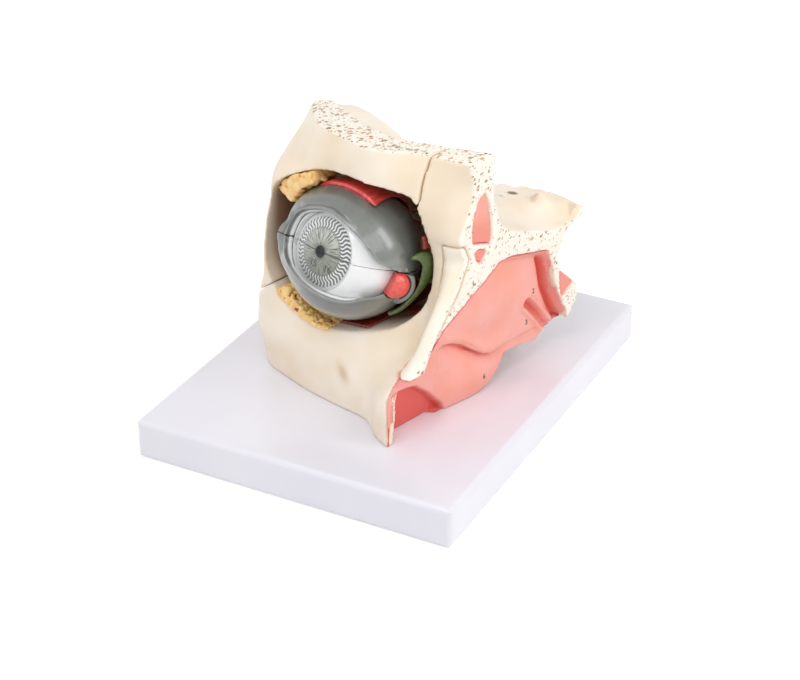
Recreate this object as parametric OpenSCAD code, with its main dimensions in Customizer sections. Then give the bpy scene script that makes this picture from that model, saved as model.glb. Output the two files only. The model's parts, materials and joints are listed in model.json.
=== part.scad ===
// Three times life-size eye in its bony orbit, on a board. Millimetres, +Z up, front towards -Y.
// The bone block is drawn in its own frame: x from the midline cut (0) to the temple (negative),
// y from the face to the back, z up from the underside of the board.

/* [Board] */
// Width of the board, left to right
board_w = 200; // [190:1:240]
// Depth of the board, front to back
board_d = 260; // [250:1:300]
// Thickness of the board
board_t = 25; // [18:1:32]
// Radius of the rounded edges of the board
board_r = 4; // [2:0.5:6]

/* [Bone block] */
// Width of the bone block, midline to temple
bone_w = 127; // [124:0.5:131]
// Depth of the bone block, face to back
bone_d = 165; // [162:0.5:172]
// Height of the bone block above the board
bone_h = 152; // [150:0.5:158]
// Turn of the midline cut against the side of the board
bone_turn = 16; // [10:0.5:20]
// Place of the midline's front end, right of the middle of the board
bone_x = 42; // [36:0.5:46]
// Place of the midline's front end, in front of the middle of the board
bone_y = 89.5; // [84:0.5:96]
// Gap in the seam between the roof and the rest of the bone
seam_gap = 0.5; // [0.4:0.1:0.8]
// Depth of the pocket for the nasal wall
nasal_pocket = 14; // [12.5:0.5:15]
// Depth of the pockets for the sinus linings
sinus_pocket = 9; // [8.5:0.5:10]
// Thickness of the sinus linings
lining_t = 7.5; // [6:0.5:8]
// Width of the nasal bone
nasal_w = 12.5; // [11:0.5:13.5]
// Thickness of the nasal bone
nasal_t = 5; // [4:0.5:6]

/* [Eye] */
// Outer diameter of the eye over the lids
lid_d = 78; // [76:0.5:79]
// Thickness of the lids
lid_t = 4.6; // [4.4:0.1:5]
// Thickness of the sclera
sclera_t = 3; // [2.6:0.1:3.4]
// Thickness of the choroid
choroid_t = 2; // [1.6:0.1:2.4]
// Upward tilt of the gaze and of the cut through the eye
gaze_tilt = 20; // [16:1:22]
// Radius of the window of the sclera
window_r = 22.3; // [21.9:0.1:22.6]
// Radius of curvature of the cornea
cornea_r = 27.5; // [26.5:0.5:29]
// Thickness of the cornea
cornea_t = 1.6; // [1.2:0.1:2]
// Distance from the middle of the eye to the edge of the iris
iris_at = 22.9; // [22.6:0.1:23.2]
// Thickness of the iris
iris_t = 1.4; // [1:0.1:2]
// Radius of curvature of the iris
iris_r = 54; // [50:1:60]
// Radius of the pupil
pupil_r = 3.4; // [2.5:0.1:5]
// Radius of the lens
lens_r = 14; // [12:0.5:15]
// Thickness of the lens
lens_t = 12; // [10:0.5:13]
// Radius of the optic nerve
nerve_r = 6; // [5:0.25:7]
// Wall of the bush that holds the optic nerve
bush_t = 2.5; // [2:0.25:3]
// Thickness of the eye muscles
muscle_t = 2.4; // [2:0.1:2.8]
// Gap between the nested layers of the eye, and across its cut
layer_gap = 0.3; // [0.25:0.05:0.4]

/* [Fasteners] */
// Diameter of the mounting screws
screw_d = 4; // [3:0.5:5]
// Length of the mounting screws under the head
screw_l = 32; // [28:1:38]
// Diameter of the heads of the mounting screws
head_d = 8; // [7:0.5:10]
// Height of the heads of the mounting screws
head_h = 3; // [2:0.5:4]
// Diameter of the dowels under the roof
dowel_d = 5; // [4:0.5:6]
// Length of the dowels under the roof
dowel_l = 14; // [10:1:18]
// Diameter of the pins between the halves of the eye
pin_d = 1.6; // [1.2:0.1:1.8]
// Length of the pins between the halves of the eye
pin_l = 5; // [4:0.5:7]

/* [Hidden] */

$fn = 64;
cave_fn = 24;            // sides of round holes in free-form bone
far = 400;               // reach of the solids that only cut
clear = 0.3;             // clearance between pieces that meet
press = 0.05;            // clearance of a pressed pin

// The key sections below are drawn for a block of this size on a board of this thickness
key_w = 127;
key_d = 165;
key_h = 152;
key_base = 25;
sx = bone_w / key_w;
sy = bone_d / key_d;
sz = bone_h / key_h;
function hz(z) = board_t + (z - key_base) * sz;

// ---- curves, lofts and frames ----
function catmull(a, b, c, d, t) =
    0.5 * (2 * b + (c - a) * t + (2 * a - 5 * b + 4 * c - d) * t * t
    + (3 * b - a - 3 * c + d) * t * t * t);
function clamped(i, n) = min(max(i, 0), n - 1);
function open_at(p, u) = let (n = len(p), i = clamped(floor(u), n - 1), t = u - i)
    catmull(p[clamped(i - 1, n)], p[i], p[clamped(i + 1, n)], p[clamped(i + 2, n)], t);
function closed_at(p, u) = let (n = len(p), i = floor(u), t = u - i)
    catmull(p[(i - 1 + n) % n], p[i % n], p[(i + 1) % n], p[(i + 2) % n], t);
function closed_curve(p, steps) = [for (k = [0 : len(p) * steps - 1]) closed_at(p, k / steps)];
function smooth(e0, e1, x) = let (t = min(max((x - e0) / (e1 - e0), 0), 1)) t * t * (3 - 2 * t);
function bump(x, y, cx, cy, rx, ry) = exp(-pow((x - cx) / rx, 2) - pow((y - cy) / ry, 2));

// Solid through rings of equal length, whichever way round they run
module loft(rings) {
    m = len(rings);
    n = len(rings[0]);
    points = [for (r = rings) each r];
    sides = [for (j = [0 : m - 2], i = [0 : n - 1]) let (a = j * n + i, b = j * n + (i + 1) % n)
        each [[a, b, b + n], [a, b + n, a + n]]];
    fans = [for (i = [1 : n - 2]) each [[0, i + 1, i], (m - 1) * n * [1, 1, 1] + [0, i, i + 1]]];
    ends = [[for (i = [n - 1 : -1 : 0]) i], [for (i = [0 : n - 1]) (m - 1) * n + i]];
    wedges = [for (f = concat(sides, fans)) points[f[0]] * cross(points[f[1]], points[f[2]])];
    inside_out = wedges * [for (w = wedges) 1] > 0;
    faces = concat(sides, ends);
    polyhedron(points, inside_out ? [for (f = faces) [for (i = [len(f) - 1 : -1 : 0]) f[i]]] : faces,
        convexity = 8);
}

// Free-form cuts kept together as one closed mesh
module sculpted() minkowski() {
    union() children();
}

module in_block() translate([bone_x, -bone_y, 0]) rotate([0, 0, -bone_turn]) children();

// Prism from x = 0 towards the temple, of an outline drawn as [-y, z]
module side_prism(depth) rotate([90, 0, -90]) linear_extrude(depth) children();
module side_cut(depth) translate([1, 0, 0]) side_prism(depth + 1) children();
function side(p) = [-p[0] * sy, hz(p[1])];

// ---- the bone mass ----
// Stations across the face, and how far back the face lies at each, level by level
face_x = [12, 0, -7, -15, -30, -52, -75, -98, -115, -123, -127];
face_rows = [
    [20, [-4, -2, 0, 3, 11, 11, 11, 14, 18, 27, 50]],
    [40, [0, 0, 0.5, 3, 13, 12, 12, 14, 15, 22, 50]],
    [52, [3, 3, 3.5, 7, 17, 15, 14, 14, 13, 19, 50]],
    [62, [18, 20, 18, 26, 24, 19, 18, 17, 14, 19, 48]],
    [72, [27, 30, 27.5, 40, 32, 24, 22, 20, 15, 20, 48]],
    [84, [36, 38, 35.5, 46, 38, 28, 24, 21, 18, 24, 48]],
    [100, [49, 51, 47.5, 53, 48, 34, 26, 21, 18, 25, 48]],
    [118, [59, 60, 56, 55, 50, 38, 28, 22, 20, 28, 48]],
    [132, [54, 55, 52, 51, 46, 36, 31, 25, 24, 32, 50]],
    [146, [60, 62, 55, 50, 42, 35, 33, 29, 26, 34, 53]],
    [158, [65, 67, 58, 52, 42, 34, 34, 34, 38, 46, 60]],
    [168, [64, 65, 59, 55, 47, 36, 36, 39, 49, 58, 70]],
    [180, [60, 61, 60.5, 60, 57, 41, 43, 47, 60, 68, 77]]
];
// The back of the block in plan, from the temple round to the midline
back_plan = [[-123, 96], [-106, 122], [-60, 152], [12, 180]];
ring_steps = 3;
level_steps = 2;

function key_ring(row) = [
    for (i = [0 : len(face_x) - 1]) [face_x[i] * sx, row[1][i] * sy, hz(row[0])],
    for (p = back_plan) [p[0] * sx, p[1] * sy, hz(row[0])]
];
key_rings = [for (row = face_rows) closed_curve(key_ring(row), ring_steps)];
mass_rings = [for (k = [0 : (len(key_rings) - 1) * level_steps])
    [for (i = [0 : len(key_rings[0]) - 1])
        open_at([for (ring = key_rings) ring[i]], k / level_steps)]];

// Side view of the back of the block as [y, z], from the foot of the face round to the top
side_back = [
    [-60, 0], [70, 0], [76, 25], [87, 27], [96, 33], [103, 41], [116, 40], [132, 37], [140, 42],
    [155, 46], [163, 56], [163, 65], [146, 82], [143, 92], [149, 105], [165, 111], [165, 260], [-60, 260]
];

// Back edge of the sawn frontal bone in plan as [distance from the midline, y]
brow_back = [[0, 85], [9, 81], [30, 71], [42, 66], [56, 61], [78, 62], [104, 70], [117, 76], [124, 67],
    [128, 58]];
// Height of the cranial floor along y, at the midline and above the orbit
floor_mid = [[60, 150], [86, 148], [92, 129], [102, 123], [116, 118], [132, 112], [148, 110], [157, 111],
    [163, 117], [240, 117]];
floor_side = [[60, 176.2], [80, 176.2], [87, 173], [97, 164], [110, 151], [132, 137], [150, 124], [240, 110]];
// How much sooner the bulge above the orbit falls away, by distance from the midline
floor_lead = [[40, 30], [54, 24], [68, 14], [88, 5], [106, 2], [117, 6], [130, 16]];
floor_x = [8, 0, -5, -12, -20, -27, -34, -42, -50, -58, -68, -78, -88, -97, -106, -112, -117, -121, -124,
    -128, -138];
floor_back = 190;
floor_steps = 16;
function floor_z(x, y) = let (
    s = smooth(4, 50, -x),
    ridge = 15 * bump(x, y, -35, 126, 17, 24),
    knob = 14 * bump(x, y, -17, 150, 7, 8),
    temple = max(-0.753 * (x + 123) + 0.658 * (y - 67), 0)
) lookup(y, floor_mid) * (1 - s) + (lookup(y + lookup(-x, floor_lead), floor_side) - temple) * s
    + ridge * (1 - s) + knob;
module cranial_space() {
    loft([for (x = floor_x) let (b = lookup(-x, brow_back), e = floor_back)
        [
            for (j = [0 : floor_steps]) let (y = b + (e - b) * j / floor_steps)
                [x * sx, y * sy, hz(floor_z(x, y))],
            [x * sx, e * sy, hz(250)],
            [x * sx, b * sy, hz(250)]
        ]]);
}

// ---- the orbit ----
eye_r = lid_d / 2;
key_eye_r = 39;
so = eye_r / key_eye_r;  // the opening grows with the eye
eye_c = [-66 * sx, 39 * sy, hz(110)];
// Rim of the orbit as [x, z] about the middle of the eye
rim = [
    [46, 8], [47, -10], [45, -24], [36, -34], [23, -38], [-6, -43.5], [-30, -40], [-43, -31], [-51, -18],
    [-52, 2], [-52, 21], [-47, 32], [-37, 39], [-19, 46], [1, 48.5], [30, 47], [42, 40]
];
rim_steps = 3;
// Depth behind the middle of the eye, scale of the rim, and share of the shift to the apex
orbit_keys = [[-90, 1, 0], [0, 1, 0], [18, 1.01, 0], [32, 0.94, 0.1], [46, 0.8, 0.3], [58, 0.6, 0.6],
    [66, 0.38, 0.85], [70, 0.2, 1]];
apex = [5, -20];
rim_mean = 46;          // mean radius of the rim
module orbit_space(inset = 0) {
    curve = closed_curve(rim, rim_steps);
    k = 1 - inset / rim_mean / so;
    loft([for (q = orbit_keys)
        [for (p = curve) [
            eye_c[0] + (p[0] * q[1] * k + apex[0] * q[2]) * so,
            eye_c[1] + (q[0] - (q[0] > 60 ? inset : 0)) * so,
            eye_c[2] + (p[1] * q[1] * k + apex[1] * q[2]) * so
        ]]]);
}
// Layer of the orbit between two insets from its wall
module orbit_layer(outer, inner) difference() {
    orbit_space(outer);
    orbit_space(inner);
}

// ---- the optic nerve and its seat ----
nerve_at = [eye_c[0] + 5 * so, eye_c[2] - 20 * so];
bush_front = eye_c[1] + 62 * so;
bush_l = 14;
nerve_end = bush_front + bush_l - 2;
module along_y(y0, y1, r, at = nerve_at)
    translate([at[0], y0, at[1]]) rotate([-90, 0, 0]) cylinder(r = r, h = y1 - y0);

// ---- seams of the bones ----
seam_x = -22;            // where the seam crosses the upper rim
seam_y = 43;             // depth from which the seam runs aside
seam_slope = 0.1;        // how fast it runs aside
seam_z = 151;            // its height at the upper rim
seam_fall = 0.79;        // its fall towards the temple
// Region of the roof, drawn back by g
module roof_zone(g) {
    loft([for (y = [-60, seam_y, 260]) let (
            x = seam_x - seam_slope * max(y - seam_y, 0),
            z = seam_z - seam_fall * (seam_x - x), t = seam_x - 150)
        [
            [x * sx - g, y * sy, hz(z) + g],
            [x * sx - g, y * sy, far],
            [t * sx, y * sy, far],
            [t * sx, y * sy, hz(seam_z - seam_fall * 150) + g]
        ]]);
}
// Face of the nasal bone at the midline as [y, z]
nasal_line = [[24, 60], [30, 72], [38, 84], [51, 100], [60, 118], [56, 128]];
// Region of the nasal bone, drawn back by g
module nasal_zone(g) side_cut(nasal_w * sx - g)
    polygon([
        for (p = nasal_line) side(p) - [nasal_t - g, (p == nasal_line[5] ? g : 0)],
        [60, hz(128) - g],
        [60, hz(60)]
    ]);

dowels = [[-112, 92], [-60, 118]];
function seam_height(x) = hz(seam_z - seam_fall * (seam_x - x));
module at_dowels() for (p = dowels) translate([p[0] * sx, p[1] * sy, seam_height(p[0])]) children();
screws = [[-26, 22], [-30, 56], [-104, 32], [-104, 62]];
module at_screws() for (p = screws) translate([p[0] * sx, p[1] * sy, 0]) children();

module bone_mass() difference() {
    intersection() {
        loft(mass_rings);
        translate([far / 2, 0, 0]) side_prism(far) polygon([for (p = side_back) side(p)]);
        translate([-far, -far / 2, board_t]) cube([far, far, bone_h]);
    }
    cranial_space();
    orbit_space();
}

// ---- openings in the midline cut ----
// Upper edge of the nasal wall in the cut and at the foot of its pocket, and its lower edge
wall_top = [[12, 59], [23, 64], [33, 71], [44, 82], [65, 93], [79, 100], [90, 107], [100, 107], [116, 103],
    [133, 99], [137, 90], [141, 74], [149, 57], [153, 51]];
wall_deep = [[20, 55], [33, 60], [43, 68], [53, 79], [69, 91], [81, 98], [91, 105], [100, 105], [114, 101],
    [130, 97], [134, 88], [138, 73], [146, 56], [150, 50]];
wall_low = [[4, 22], [80, 22], [90, 23], [100, 32], [106, 37], [116, 36], [132, 33], [142, 38], [153, 46]];
module wall_space(depth) {
    loft([for (q = [[1, wall_top], [0, wall_top], [-depth, wall_deep]])
        [for (p = concat(wall_low, [for (i = [len(wall_top) - 1 : -1 : 0]) q[1][i]]))
            [q[0], p[0] * sy, hz(p[1])]]]);
}
// Front opening of the nose in the face, as [x, z]
nose_gap = [[2, 20], [-1, 20], [-1, 25], [-3, 44], [-9, 60], [2, 60]];
module nose_space(g) translate([0, 34 * sy, 0]) rotate([90, 0, 0]) linear_extrude(60 * sy)
    polygon([for (p = nose_gap) [p[0] * sx + (p[0] < 0 ? g : 0), hz(p[1]) - (p[1] > 59 ? g : 0)]]);
frontal_upper = [[76, 156], [70, 150], [67, 138], [67, 127], [75, 125], [83, 122], [82, 136], [79, 150]];
frontal_lower = [[69, 122], [70, 116], [74, 113], [78, 116], [79, 119], [74, 121]];
sphenoid = [[144, 83], [159, 69], [148, 62]];
module outline(p) polygon([for (q = p) side(q)]);

// ==== fixed pieces ====
head_drop = 2;           // the heads lie this deep in the underside
module board_outline(w, d) {
    square([w, d - 2 * board_r], center = true);
    square([w - 2 * board_r, d], center = true);
    for (i = [-1, 1], j = [-1, 1])
        translate([i * (w / 2 - board_r), j * (d / 2 - board_r)]) circle(board_r);
}
module base_board() color("white") difference() {
    translate([0, 0, board_t / 2]) intersection() {
        linear_extrude(board_t, center = true) board_outline(board_w, board_d);
        rotate([90, 0, 0]) linear_extrude(board_d, center = true) board_outline(board_w, board_t);
        rotate([90, 0, 90]) linear_extrude(board_w, center = true) board_outline(board_d, board_t);
    }
    in_block() at_screws() {
        translate([0, 0, -1]) cylinder(d = screw_d + 2 * clear, h = board_t + 2);
        translate([0, 0, -1]) cylinder(d = head_d + 2 * clear, h = 1 + head_drop + head_h);
    }
}
module mounting_screws() color("silver") in_block() at_screws() {
    translate([0, 0, head_drop]) difference() {
        cylinder(d = head_d, h = head_h);
        translate([0, 0, -1]) cylinder(d = head_d / 2, h = 1 + head_h / 2, $fn = 6);
    }
    translate([0, 0, head_drop + head_h]) cylinder(d = screw_d, h = screw_l);
}
module orbit_block() color("wheat") in_block() sculpted() difference() {
    bone_mass();
    roof_zone(0);
    nasal_zone(0);
    wall_space(nasal_pocket);
    nose_space(0);
    side_cut(sinus_pocket) outline(frontal_upper);
    side_cut(sinus_pocket) outline(frontal_lower);
    side_cut(sinus_pocket) outline(sphenoid);
    along_y(bush_front - far / 8, bush_front + bush_l, nerve_r + clear + bush_t + clear / 2, $fn = cave_fn);
    at_screws() translate([0, 0, board_t - 1])
        cylinder(d = screw_d + clear, h = 2 + head_drop + head_h + screw_l - board_t, $fn = cave_fn);
    at_dowels() translate([0, 0, -dowel_l / 2]) cylinder(d = dowel_d + clear, h = dowel_l, $fn = cave_fn);
}
module nasal_bone() color("antiquewhite") in_block() sculpted() intersection() {
    bone_mass();
    nasal_zone(clear);
}
// Depth of the nasal wall under the midline cut: lip, shells of bone, passages
meatus = [[46, 74], [52, 70], [64, 61], [80, 52], [92, 48.5], [100, 49], [112, 47.5], [130, 46]];
choana = [[48, 145], [58, 141], [75, 135], [96, 127], [110, 122]];
function relief(y, z) = let (
    lip = smooth(0, 8, lookup(y, wall_top) - z) * smooth(3, 6, y),
    arch = 7 * smooth(0, 0.35, 1 - pow((y - 24) / 20, 2) - pow((z - 30) / 28, 2)),
    inferior = -5.5 * bump(y, z, 76, 44, 25, 13),
    middle = -4 * bump(y, z, 86, 78, 34, 16),
    passage = 6 * exp(-pow((z - lookup(y, meatus)) / 2.8, 2)) * smooth(48, 60, y) * (1 - smooth(104, 118, y)),
    pit = 4.5 * bump((y - 120) * 0.77 - (z - 64) * 0.64, (y - 120) * 0.64 + (z - 64) * 0.77, 0, 0, 12, 3.5),
    groove = 3.5 * exp(-pow((y - lookup(z, choana)) / 3, 2)) * smooth(50, 60, z)
) clear + lip * (6 + max(arch + inferior + middle + passage + pit + groove, clear - 5));
wall_steps = [40, 18];
module nasal_wall() color("salmon") in_block() sculpted() intersection() {
    y0 = -8;
    y1 = 154;
    loft([for (i = [0 : wall_steps[0]]) let (
            y = y0 + (y1 - y0) * i / wall_steps[0],
            a = lookup(y, wall_low), b = lookup(y, wall_top) + 2)
        [
            [-nasal_pocket + clear, y * sy, hz(a)],
            [-nasal_pocket + clear, y * sy, hz(b)],
            for (j = [wall_steps[1] : -1 : 0]) let (z = a + (b - a) * j / wall_steps[1])
                [-relief(y, z), y * sy, hz(z)]
        ]]);
    bone_mass();
    difference() {
        union() {
            wall_space(nasal_pocket - clear);
            nose_space(clear);
        }
        nasal_zone(0);
    }
}
module lining(p) color("salmon") in_block() translate([-sinus_pocket + clear + lining_t, 0, 0])
    side_prism(lining_t) outline(p);
module frontal_sinus_lining() {
    lining(frontal_upper);
    lining(frontal_lower);
}
module sphenoid_sinus_lining() lining(sphenoid);

// Soft pieces on the wall of the orbit
module orbit_box(x0, x1, y0, y1, z0, z1) translate(eye_c + [x0, y0, z0] * so)
    cube([x1 - x0, y1 - y0, z1 - z0] * so);
module wall_strap(x0, x1, y0, y1, z0, z1) sculpted() intersection() {
    orbit_layer(clear, clear + muscle_t);
    orbit_box(x0, x1, y0, y1, z0, z1);
}
module medial_rectus() color("darkred") in_block() wall_strap(15, 80, 10, 56, 12.5, 21);
module lateral_rectus() color("darkred") in_block() wall_strap(-80, 0, 14, 60, -46, -31);
module inferior_rectus() color("darkred") in_block() wall_strap(0, 22, -10, 52, -80, -10);
module inferior_oblique() color("darkred") in_block() wall_strap(24, 44, 18, 26, -80, -18);
module nerve_bush() color("antiquewhite") in_block() difference() {
    along_y(bush_front, bush_front + bush_l - clear, nerve_r + clear + bush_t);
    along_y(bush_front - 1, bush_front + bush_l, nerve_r + clear);
}
module roof_dowels() color("silver") in_block() at_dowels() translate([0, 0, -dowel_l / 2 + clear])
    cylinder(d = dowel_d, h = dowel_l);

// Lobes of fat and gland: rounded lumps in rows about the eye
function lobes(u, v) = abs(sin(u * 180)) * abs(sin(v * 180));
module lobed(a0, a1, y0, y1, nu, nv, inner, height) {
    na = nu * 4;
    ny = nv * 4;
    loft([for (i = [0 : na]) let (a = a0 + (a1 - a0) * i / na, ca = cos(a), sa = sin(a))
        [
            [eye_c[0] + 70 * so * ca, y1 * so + eye_c[1], eye_c[2] + 70 * so * sa],
            [eye_c[0] + 70 * so * ca, y0 * so + eye_c[1], eye_c[2] + 70 * so * sa],
            for (j = [0 : ny]) let (
                    y = y0 + (y1 - y0) * j / ny,
                    r = (inner + height * (1 - lobes(i / 4 + (floor(j / 4) % 2) / 2, j / 4))) * so)
                [eye_c[0] + r * ca, y * so + eye_c[1], eye_c[2] + r * sa]
        ]]);
}
module orbital_fat() color("goldenrod") in_block() sculpted() intersection() {
    lobed(218, 269, -22, 12, 8, 4, 40.2, 2);
    orbit_space(clear);
}
module lacrimal_gland() color("orange") in_block() sculpted() intersection() {
    lobed(119, 152, -10, 18, 5, 4, 42.2, 2);
    orbit_space(clear);
}
// Green tear sac on the medial wall, a leaf that curves down and forwards round the corner of the eye:
// places about the middle of the eye, each with its half width
leaf = [[29.5, -2, -28.5, 1.2], [35.2, 3, -24.5, 2.6], [40.8, 11, -14.5, 3.6], [43.8, 15.5, -4, 6.3],
    [44.3, 15, 3.5, 5.8], [43.6, 9.5, 8.5, 3], [42.6, 3, 9.5, 1.2]];
leaf_t = 1.5;            // half its thickness
leaf_steps = 3;
function leaf_at(u) = open_at(leaf, min(max(u, 0), len(leaf) - 1));
function unit(v) = v / norm(v);
module lacrimal_sac() color("darkgreen") in_block() sculpted() intersection() {
    orbit_space(clear);
    loft([for (k = [0 : (len(leaf) - 1) * leaf_steps]) let (
            u = k / leaf_steps, p = leaf_at(u), q = leaf_at(u + 0.1) - leaf_at(u - 0.1),
            out = unit([p[0], 0, p[2]]), wide = unit(cross([q[0], q[1], q[2]], out)))
        [for (m = [0 : 11]) let (t = m * 30)
            eye_c + ([p[0], p[1], p[2]] + out * leaf_t * sin(t) + wide * p[3] * cos(t)) * so]]);
}

// ==== roof of the orbit ====
module orbit_roof() color("wheat") in_block() sculpted() difference() {
    intersection() {
        bone_mass();
        roof_zone(seam_gap);
    }
    at_dowels() translate([0, 0, -dowel_l])
        cylinder(d = dowel_d + 2 * clear, h = dowel_l * 1.5 + 2 * clear, $fn = cave_fn);
}

// ==== the eye ====
// In the eye's own frame x is medial, y is backwards along the gaze, z is square to the cut
module in_eye() in_block() translate(eye_c) rotate([-gaze_tilt, 0, 0]) children();
sclera_r = eye_r - lid_t - layer_gap;
choroid_r = sclera_r - sclera_t - layer_gap;
vitreous_r = choroid_r - choroid_t - layer_gap;
lid_back = 26 * so;      // how far the lids reach behind the equator
window_at = sqrt(pow(sclera_r, 2) - pow(window_r, 2));
cornea_edge = window_r - layer_gap;
cornea_c = window_at - sqrt(pow(cornea_r, 2) - pow(window_r, 2));
iris_back = iris_at - 1.2 * iris_t;    // behind the edge of the iris
lens_at = iris_back - 2 - lens_t / 2;

module ball_shell(r, t) rotate([gaze_tilt, 0, 0]) difference() {
    sphere(r);
    sphere(r - t);
}
module half(top) translate([-far / 2, -far / 2, top ? layer_gap / 2 : -far / 2 - layer_gap / 2])
    cube([far, far, far / 2]);
// Disc or tube along the gaze, between two distances in front of the middle
module along_gaze(a0, a1, r) translate([0, -a0, 0]) rotate([90, 0, 0]) cylinder(r = r, h = a1 - a0);
module cut_half(top) intersection() {
    children();
    half(top);
}

module pins(extra_r, extra_l) for (i = [-1, 1])
    translate([i * (sclera_r - sclera_t / 2), 0, -pin_l / 2 - extra_l])
        cylinder(d = pin_d + 2 * extra_r, h = pin_l + 2 * extra_l);
module sclera(top) color("ivory") in_eye() difference() {
    cut_half(top) ball_shell(sclera_r, sclera_t);
    along_gaze(iris_back, far, window_r);
    pins(top ? clear / 2 : press, top ? clear : 0);
    if (!top) nerve_hole();
}
module choroid(top) color("saddlebrown") in_eye() difference() {
    cut_half(top) ball_shell(choroid_r, choroid_t);
    translate([0, clear - iris_back, 0]) rotate([90, 0, 0]) cylinder(r = far / 4, h = far / 4);
}
module iris(top) color("slategray") in_eye() difference() {
    cut_half(top) intersection() {
        translate([0, sqrt(pow(iris_r, 2) - pow(window_r - layer_gap, 2)) - iris_at, 0]) ball_shell(iris_r, iris_t);
        along_gaze(0, far / 4, window_r - layer_gap);
    }
    along_gaze(0, far, pupil_r);
}
module cornea(top) color("azure", 0.4) in_eye() cut_half(top) intersection() {
    translate([0, -cornea_c, 0]) ball_shell(cornea_r, cornea_t);
    along_gaze(iris_at + clear, far / 4, cornea_edge);
}

// Opening between the lids, seen along the gaze, and how it flares beyond a distance from the middle of the eye
lid_gap = [[-23.5, -1], [-24, 4.5], [-22.5, 10], [-18, 13.5], [-9, 16.5], [-2, 18.5], [4, 19], [10.5, 17.7],
    [17, 15.5], [23, 12.8], [29, 9], [34, 4.5], [39, 0], [38, -8], [34, -14.5], [28, -18], [21, -20], [15, -19],
    [9, -17.5], [4, -15.7], [-2, -13.2], [-7, -11], [-13, -8.6], [-20.5, -6.4]];
lid_fn = 40;
gap_mid = 8;             // middle of the opening, off the gaze
flare_at = 18;
flare = 0.02;            // part of its width that the opening gains on each millimetre
module look_through() loft([for (q = [[-5, 0], [flare_at, 0], [70, 70 - flare_at]])
    [for (p = closed_curve(lid_gap, 2)) let (k = 1 + flare * q[1])
        [gap_mid + (p[0] - gap_mid) * k, -q[0], p[1] * k] * so]]);
// Loop of the lids round the red caruncle
corner_at = [37, -1, -7.5];
corner_r = 9.4;
corner_w = 2.3;
upper_reach = 39.8;      // the upper lid stays this far from the seam of the bones
module corner_frame() translate(corner_at * so) rotate([0, 96, -29]) children();
module upright(r, facets = 64) rotate([gaze_tilt, 0, 0]) sphere(r, $fn = facets);
module behind_lids() translate([-far / 2, lid_back, -far / 2]) cube(far);
module eyelid(top) color("dimgray") in_eye() sculpted() difference() {
    cut_half(top) union() {
        upright(eye_r, lid_fn);
        translate([-30.5, -21, 0.5] * so) sphere(6 * so, $fn = cave_fn);
        corner_frame() rotate_extrude($fn = 32) translate([corner_r * so, 0]) circle(corner_w * so, $fn = 10);
    }
    look_through();
    behind_lids();
    upright(sclera_r + layer_gap, lid_fn);
    translate([0, -cornea_c, 0]) sphere(cornea_r + layer_gap, $fn = lid_fn);
    if (top) translate([upper_reach * so, -far / 2, -far / 2]) cube(far);
    corner_frame() cylinder(r = (corner_r - corner_w / 2) * so, h = far / 10, center = true, $fn = 32);
}
module caruncle() color("crimson") in_eye() difference() {
    cut_half(false) corner_frame() scale([1, 1, 0.7])
        sphere((corner_r - corner_w / 2) * so - clear);
    sphere(sclera_r + 2 * layer_gap);
    corner_frame() rotate([0, 0, -12]) translate([-far / 2, -far - 3.8 * so, -far / 2]) cube(far);
}
// The nerve runs level into the apex, while the eye itself is tilted
module nerve_hole() rotate([gaze_tilt, 0, 0]) translate(-eye_c)
    along_y(eye_c[1], eye_c[1] + far / 4, nerve_r + press);
module optic_nerve() color("khaki") in_block() difference() {
    along_y(eye_c[1] + 20 * so, nerve_end, nerve_r);
    translate(eye_c) sphere(choroid_r + layer_gap);
}
module half_pins() color("silver") in_eye() pins(0, 0);

// Straps on top of the eye, from the front edge back to the apex
module strap(r0, t, x0, w0, w1, front, back) {
    steps = 14;
    loft([for (k = [0 : steps]) let (
            a = front - (front + 62) * min(k / steps * 1.35, 1),
            run = max(k / steps * 1.35 - 1, 0) / 0.35 * (back - r0 * sin(62)),
            w = w0 + (w1 - w0) * k / steps)
        [for (m = [-3 : 3]) strap_point(r0 + t, a, run, x0 + w * m / 3),
         for (m = [3 : -1 : -3]) strap_point(r0, a, run, x0 + w * m / 3)]]);
}
function strap_point(r, a, run, x) = let (up = sqrt(r * r - x * x))
    [x, -up * sin(a) + run, up * cos(a) + run * -0.12];
module levator() color("firebrick") in_eye()
    strap(eye_r + clear, muscle_t, -6 * so, 22 * so, 8 * so, 15, 49 * so);
module superior_rectus() color("darkred") in_eye()
    strap(sclera_r + clear, muscle_t, 0, 9 * so, 5 * so, -56, 46 * so);

module lens_body(extra) intersection() {
    cap_r = (pow(lens_r, 2) + pow(lens_t / 2, 2)) / lens_t;
    for_axis = cap_r - lens_t / 2;
    translate([0, -lens_at + for_axis, 0]) sphere(cap_r + extra);
    translate([0, -lens_at - for_axis, 0]) sphere(cap_r + extra);
    along_gaze(0, far / 4, lens_r - 0.5 + extra);
}
module lens() color("lightblue", 0.6) in_eye() lens_body(0);
module vitreous_body() color("lightcyan", 0.5) in_eye() difference() {
    rotate([90, 0, 0]) sphere(vitreous_r);
    translate([0, -lens_at, 0]) rotate([90, 0, 0]) cylinder(r = far / 4, h = far / 4);
    lens_body(layer_gap);
}

module sclera_lower() sclera(false);
module sclera_upper() sclera(true);
module choroid_lower() choroid(false);
module choroid_upper() choroid(true);
module iris_lower() iris(false);
module iris_upper() iris(true);
module cornea_lower() cornea(false);
module cornea_upper() cornea(true);
module eyelid_lower() eyelid(false);
module eyelid_upper() eyelid(true);

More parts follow.
